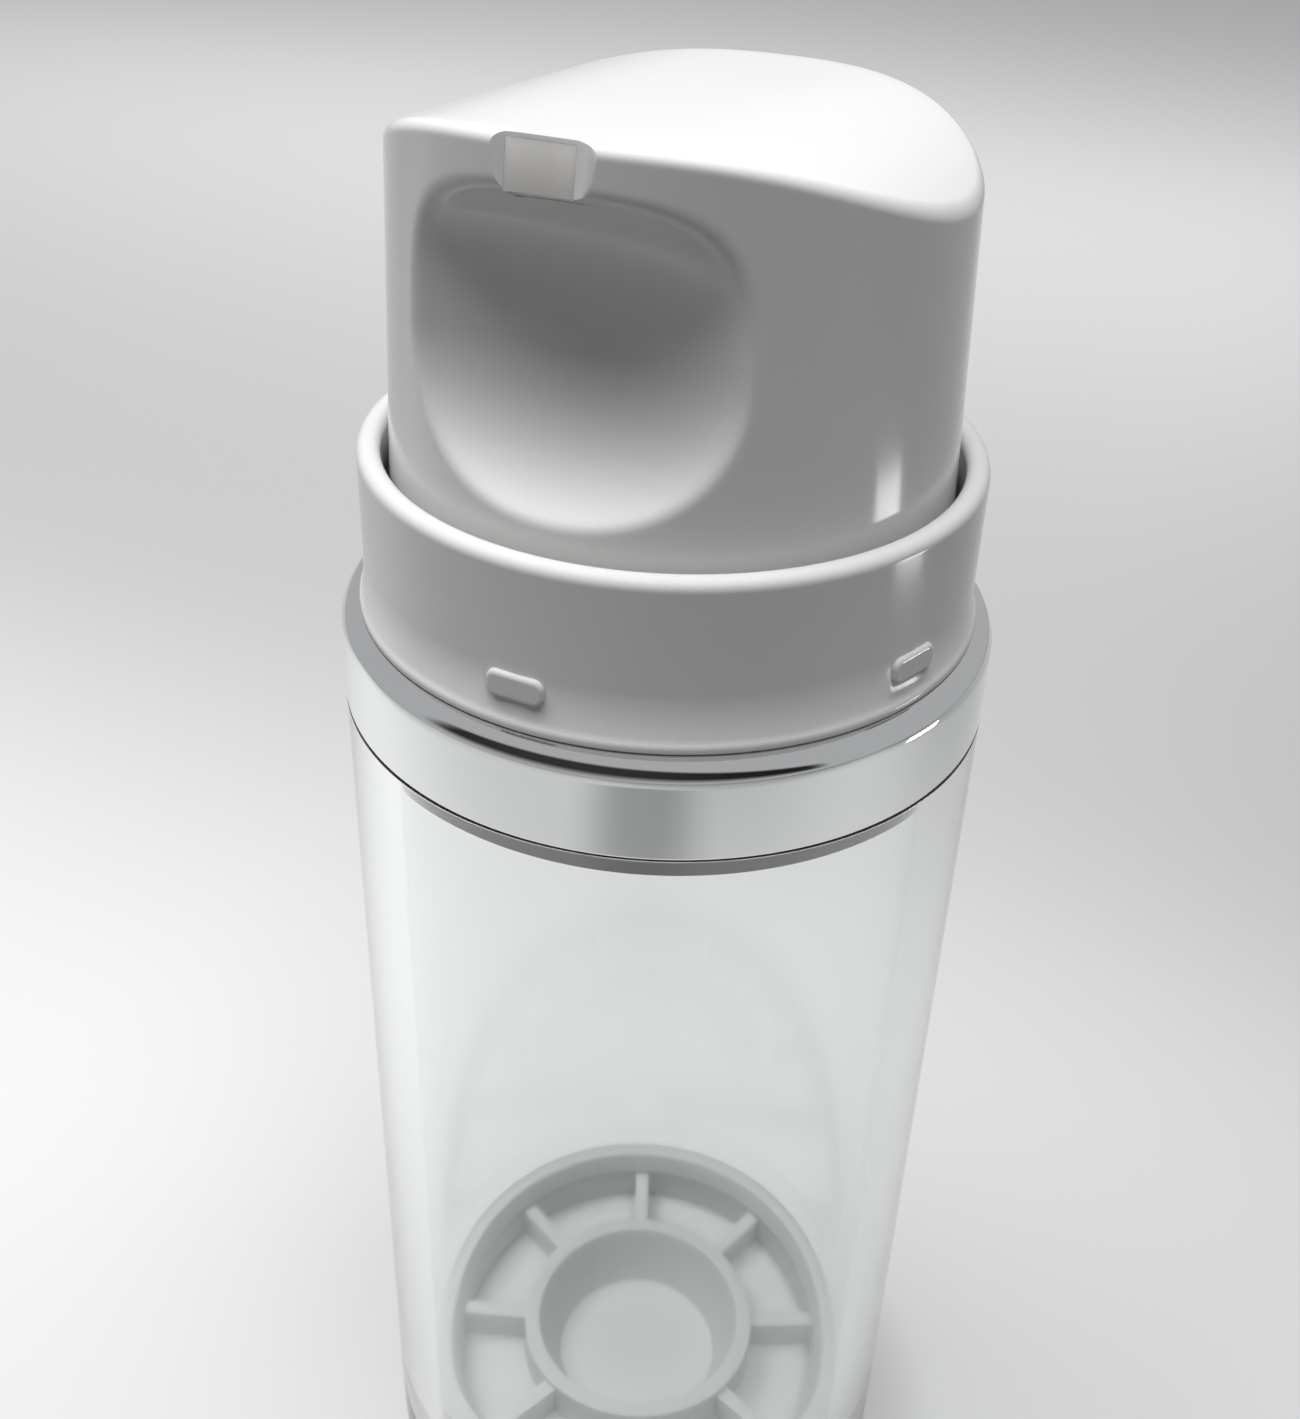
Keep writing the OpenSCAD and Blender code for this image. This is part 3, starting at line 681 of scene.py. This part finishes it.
# The nozzle insert: a small block of natural plastic, pushed in from inside the head before the core goes
# in. Its flat front leans back in a shallow flared notch, and its outlet opens down behind the lip of the
# dent.
insert_low, insert_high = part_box("nozzle_insert")
insert_half = insert_high.x
insert_round = 0.02 * mm
face_y = insert_low.y - 0.4 * mm
face_lean = 0.62 * mm
face_spread = 0.06 * mm
face_top = 109 * mm
lip_back = face_y + 1.5 * mm
lip_sunk = 0.012 * mm
back_sunk = 0.5 * mm
top_sunk = 0.25 * mm
notch_shift = -0.9 * mm
notch_reach = 2 * mm
notch_foot = dent_z + 7.2 * mm
left_flare = 1.7
right_flare = 2.5
foot_flare = 1.3
notch_front = face_y - notch_reach
foot_half = insert_half + face_spread
top_reach = notch_reach + face_lean
foot_reach = foot_flare * notch_reach
notch_corners = {
    (-1, 1, 1): (-insert_half, face_y + face_lean, face_top),
    (1, 1, 1): (insert_half, face_y + face_lean, face_top),
    (-1, 1, -1): (-foot_half, face_y, notch_foot),
    (1, 1, -1): (foot_half, face_y, notch_foot),
    (-1, -1, 1): (-insert_half - left_flare * top_reach, notch_front, face_top),
    (1, -1, 1): (insert_half + right_flare * top_reach, notch_front, face_top),
    (-1, -1, -1): (-foot_half - left_flare * foot_reach, notch_front, notch_foot),
    (1, -1, -1): (foot_half + right_flare * foot_reach, notch_front, notch_foot),
}
notch_bm = bmesh.new()
bmesh.ops.create_cube(notch_bm, size=2)
for v in notch_bm.verts:
    v.co = notch_corners[tuple(int(round(c)) for c in v.co)]
    v.co.x += notch_shift
combined(head_shell, loose("notch", notch_bm), "DIFFERENCE")


def insert_form(grow, drop):
    """The insert's block. Its lip ends on the scoop's roof, and the rest stays inside the wall above."""
    bm = bmesh.new()
    bmesh.ops.create_cube(bm, size=1)
    for v in bm.verts:
        v.co.x = notch_shift + math.copysign(insert_half + grow, v.co.x)
        v.co.y = insert_high.y if v.co.y > 0 else face_y - grow
        v.co.z = face_top if v.co.z > 0 else insert_low.z
    across = [e for e in bm.edges if abs((e.verts[0].co - e.verts[1].co).x) > mm]
    bmesh.ops.subdivide_edges(bm, edges=across, cuts=5, use_grid_fill=True)
    along = [e for e in bm.edges if abs((e.verts[0].co - e.verts[1].co).y) > mm]
    bmesh.ops.subdivide_edges(bm, edges=along, cuts=39, use_grid_fill=True)
    for v in bm.verts:
        if v.co.z > insert_low.z + mm:
            v.co.z = float(arch_z(v.co.x, v.co.y)) - top_sunk + grow
        else:
            wide = abs(math.hypot(v.co.x, scoop_y + v.co.y) - scoop_ring) / scoop_tube
            roof = dent_z + scoop_roof * max(1 - wide**dent_roof_power, 0) ** (1 / dent_roof_power)
            if v.co.y < lip_back:
                v.co.z = roof + lip_sunk - drop
            else:
                v.co.z = max(roof, notch_foot) + back_sunk - grow
        fade = (insert_high.y - v.co.y) / (insert_high.y - face_y)
        v.co.y += fade * face_lean * (v.co.z - notch_foot) / (face_top - notch_foot)
    return bm


def finish_skin(shell, material):
    """Smooths what the cuts left, keeps the true edges sharp, and puts the one material on."""
    shell.data.shade_smooth()
    shell.data.set_sharp_from_angle(angle=math.radians(35))
    shell.data.materials.clear()
    shell.data.materials.append(material)


seat_clearance = 0.008 * mm
combined(head_shell, loose("insert_seat", insert_form(seat_clearance, mm)), "DIFFERENCE")
finish_skin(head_shell, white_gloss)

insert_bm = insert_form(0, 0)
corner = math.radians(50)
edges = [e for e in insert_bm.edges if len(e.link_faces) == 2 and e.calc_face_angle() > corner]
bevelled(insert_bm, edges, insert_round, 3)
insert = piece("nozzle_block", insert_bm, "head", "nozzle_plastic", "nozzle_insert")
outlet_r = 0.4 * mm
outlet_h = 2 * mm
outlet_at = (notch_shift, face_y + 0.95 * mm, notch_foot - 0.6 * mm)
outlet_bm = bmesh.new()
bmesh.ops.create_cone(
    outlet_bm, cap_ends=True, segments=32, radius1=outlet_r, radius2=outlet_r, depth=outlet_h
)
bmesh.ops.translate(outlet_bm, verts=outlet_bm.verts[:], vec=outlet_at)
combined(insert, loose("outlet", outlet_bm), "DIFFERENCE")
# painted light: the insert is made paler than the white shell so that its face reads bright; its cream tint
# is its own colour
insert_plastic, insert_shader = moulded(
    "nozzle_plastic",
    colour=(0.93, 0.91, 0.87),
    drift_colour=(0.91, 0.89, 0.845),
    roughness=0.2,
    cloud=0.06,
    relief=5e-6,
    wave_size=200,
    peel_size=2500,
    peel_share=0.3,
)
glow(insert_shader, 0.35, (0.002, 0.0018, 0.0014), 0.5)
finish_skin(insert, insert_plastic)


# The studio: a pale floor with painted shade on it, a soft box over the object, a dark cloth in front that
# keeps the front in shade and shows in the chrome, and a thin lamp low at the right that draws the highlight
# down the head.
# None of it is part of the object.
def between(tree, value, start, end, low=0.0, high=1.0, curve="SMOOTHSTEP"):
    """Goes from low to high as the value goes from start to end."""
    node = tree.nodes.new("ShaderNodeMapRange")
    node.interpolation_type = curve
    for label, number in (("From Min", start), ("From Max", end), ("To Min", low), ("To Max", high)):
        node.inputs[label].default_value = number
    tree.links.new(value, node.inputs["Value"])
    return node.outputs["Result"]


def shaded(tree, share, tone, grey=0.0):
    """Mixes from a grey to the tone."""
    node = tree.nodes.new("ShaderNodeMix")
    node.data_type = "RGBA"
    node.inputs["A"].default_value = (grey, grey, grey, 1)
    tree.links.new(share, node.inputs["Factor"])
    tree.links.new(tone, node.inputs["B"])
    return node.outputs["Result"]


def seen_rays(tree, rays):
    """1 for the rays that show something: the camera's own, mirrored ones, and those through the bottle."""
    seen = math_node(tree, "MAXIMUM", rays["Is Camera Ray"], rays["Is Glossy Ray"])
    return math_node(tree, "MAXIMUM", seen, rays["Is Transmission Ray"])


floor_bm = bmesh.new()
bmesh.ops.create_grid(floor_bm, x_segments=1, y_segments=1, size=3)
floor = loose("studio_floor", floor_bm)
floor_paint = bpy.data.materials.new("pale_floor")
floor_paint.use_nodes = True
floor_tree = floor_paint.node_tree
floor_shader = floor_tree.nodes["Principled BSDF"]
floor_shader.inputs["Roughness"].default_value = 0.6
floor_shader.inputs["Specular IOR Level"].default_value = 0.2
floor_rays = floor_tree.nodes.new("ShaderNodeLightPath").outputs
floor_seen = seen_rays(floor_tree, floor_rays)
floor_place = floor_tree.nodes.new("ShaderNodeTexCoord").outputs["Object"]
floor_axes = floor_tree.nodes.new("ShaderNodeSeparateXYZ")
floor_tree.links.new(floor_place, floor_axes.inputs["Vector"])

# painted shade on the floor: its tone goes darker and lighter from front to back, and a little darker to the
# right, as the light would fall
floor_shade_ramp = floor_tree.nodes.new("ShaderNodeValToRGB")
floor_shade_ramp.color_ramp.interpolation = "EASE"
stops = floor_shade_ramp.color_ramp.elements
stops[0].position, stops[0].color = 0.1, (0.52, 0.525, 0.525, 1)
stops[1].position, stops[1].color = 0.81, (0.95, 0.955, 0.955, 1)
for place, tone in ((0.25, 0.72), (0.39, 0.50)):
    stops.new(place).color = (tone, tone * 1.006, tone * 1.004, 1)
backward = between(floor_tree, floor_axes.outputs["Y"], -0.2, 0.6, curve="LINEAR")
floor_tree.links.new(backward, floor_shade_ramp.inputs["Fac"])
darker_right_shade = between(floor_tree, floor_axes.outputs["X"], 0.0, 0.13, low=1.0, high=0.8)
painted_shade_paper = shaded(floor_tree, darker_right_shade, floor_shade_ramp.outputs["Color"])

# painted shadow: a soft dark patch on the floor in front, seen only by mirrored rays, so that it shows only
# in the chrome
painted_shadow_at = (0.036, -0.118, 0)
painted_shadow_from = floor_tree.nodes.new("ShaderNodeVectorMath")
painted_shadow_from.operation = "DISTANCE"
painted_shadow_from.inputs[1].default_value = painted_shadow_at
floor_tree.links.new(floor_place, painted_shadow_from.inputs[0])
painted_shadow_r = painted_shadow_from.outputs["Value"]
painted_shadow = between(floor_tree, painted_shadow_r, 0.005, 0.06, low=0.46, high=0.0, curve="SMOOTHERSTEP")
painted_shadow = math_node(floor_tree, "MULTIPLY", painted_shadow, floor_rays["Is Glossy Ray"])
painted_shade_paper = shaded(floor_tree, math_node(floor_tree, "SUBTRACT", 1, painted_shadow), painted_shade_paper)
# painted shade: rays that only carry bounced light see the floor as a dim grey, which keeps the object's
# sides in shade
painted_shade_paper = shaded(floor_tree, floor_seen, painted_shade_paper, grey=0.19)
floor_tree.links.new(painted_shade_paper, floor_shader.inputs["Base Color"])

# far away the floor fades into the tone of the backdrop
far_from = floor_tree.nodes.new("ShaderNodeVectorMath")
far_from.operation = "LENGTH"
floor_tree.links.new(floor_place, far_from.inputs[0])
far = between(floor_tree, far_from.outputs["Value"], 0.4, 1.2)
backdrop = floor_tree.nodes.new("ShaderNodeEmission")
backdrop.inputs["Color"].default_value = (0.446, 0.45, 0.455, 1)
far_mix = floor_tree.nodes.new("ShaderNodeMixShader")
floor_tree.links.new(math_node(floor_tree, "MULTIPLY", far, floor_seen), far_mix.inputs[0])
floor_tree.links.new(floor_shader.outputs[0], far_mix.inputs[1])
floor_tree.links.new(backdrop.outputs[0], far_mix.inputs[2])
floor_tree.links.new(far_mix.outputs[0], floor_tree.nodes["Material Output"].inputs["Surface"])
floor.data.materials.append(floor_paint)

# the backdrop as it is seen, over a faint light from all round
backdrop_strength = 0.42
round_light = 0.035
world = bpy.data.worlds.new("studio_light")
bpy.context.scene.world = world
world.use_nodes = True
sky_tree = world.node_tree
sky = sky_tree.nodes["Background"]
sky.inputs["Color"].default_value = (0.98, 0.99, 1.0, 1)
sky_seen = seen_rays(sky_tree, sky_tree.nodes.new("ShaderNodeLightPath").outputs)
sky_shown = math_node(sky_tree, "MULTIPLY", sky_seen, backdrop_strength)
sky_tree.links.new(math_node(sky_tree, "ADD", sky_shown, round_light), sky.inputs["Strength"])


def lamp(name, place, aim, width, height, watts):
    """A flat lamp of that size that faces the aim."""
    data = bpy.data.lights.new(name, "AREA")
    data.shape = "RECTANGLE"
    data.size, data.size_y = width, height
    data.energy = watts
    made = bpy.data.objects.new(name, data)
    bpy.context.scene.collection.objects.link(made)
    made.location = place
    made.rotation_mode = "QUATERNION"
    made.rotation_quaternion = (Vector(aim) - made.location).to_track_quat("-Z", "Y")
    return made


top_box = lamp("top_box", (-0.13, -0.055, 0.72), (-0.13, -0.054, 0.0), width=0.9, height=0.5, watts=8.9)
top_box.visible_glossy = False
thin_lamp = lamp("thin_lamp", (0.109, 0.0365, 0.043), (0, 0, 0.09), width=0.026, height=0.015, watts=0.009)
thin_lamp.visible_diffuse = False

# the cloth hangs upright in front, and thins out towards all its edges so its image in the chrome is soft
flag_w, flag_h = 3.4, 0.9
flag_x, flag_y = 0.7, -0.55
flag_bm = bmesh.new()
bmesh.ops.create_grid(flag_bm, x_segments=1, y_segments=1, size=0.5)
for v in flag_bm.verts:
    v.co = (v.co.x * flag_w + flag_x, flag_y, v.co.y * flag_h + flag_h / 2)
flag = loose("dark_flag", flag_bm)
flag_cloth = bpy.data.materials.new("flag_cloth")
flag_cloth.use_nodes = True
flag_tree = flag_cloth.node_tree
flag_shader = flag_tree.nodes["Principled BSDF"]
flag_shader.inputs["Base Color"].default_value = (0.03, 0.028, 0.026, 1)
flag_shader.inputs["Roughness"].default_value = 0.9
flag_axes = flag_tree.nodes.new("ShaderNodeSeparateXYZ")
flag_place = flag_tree.nodes.new("ShaderNodeTexCoord").outputs["Object"]
flag_tree.links.new(flag_place, flag_axes.inputs["Vector"])
flag_cover = 1
for axis, start, end in (("X", -1.0, -0.6), ("X", 2.4, 1.4), ("Z", 0.9, 0.6), ("Z", 0.02, 0.3)):
    fade = between(flag_tree, flag_axes.outputs[axis], start, end)
    flag_cover = math_node(flag_tree, "MULTIPLY", flag_cover, fade)
flag_tree.links.new(flag_cover, flag_shader.inputs["Alpha"])
flag.data.materials.append(flag_cloth)
flag.visible_camera = False
flag.visible_shadow = False

# The camera: it stands above the head and to the right of the nozzle, close to the object, as the photograph
# was taken. Its lens and place were fitted to the circles round the bottle's axis.
photo_w, photo_h = 1300, 1419
focal_px = 1644.5
camera_reach = 89.53 * mm
camera_z = 126.72 * mm
camera_turn = math.radians(22)
pitch, yaw, roll = math.radians(32.93), math.radians(-0.53), math.radians(2.06)
camera_data = bpy.data.cameras.new("photo_camera")
camera = bpy.data.objects.new("photo_camera", camera_data)
bpy.context.scene.collection.objects.link(camera)
bpy.context.scene.camera = camera
camera_data.lens = focal_px / max(photo_w, photo_h) * camera_data.sensor_width
camera_data.clip_start = 0.005
camera_data.clip_end = 20
forward = np.array([math.sin(yaw) * math.cos(pitch), math.cos(yaw) * math.cos(pitch), -math.sin(pitch)])
level_right = np.array([math.cos(yaw), -math.sin(yaw), 0])
level_up = np.cross(level_right, forward)
right = math.cos(roll) * level_right + math.sin(roll) * level_up
up = -math.sin(roll) * level_right + math.cos(roll) * level_up
swing = Matrix.Rotation(camera_turn, 4, "Z")
facing = Matrix((right, up, -forward)).transposed().to_4x4()
camera.matrix_world = swing @ Matrix.Translation((0, -camera_reach, camera_z)) @ facing

bpy.context.scene.view_settings.view_transform = "Standard"
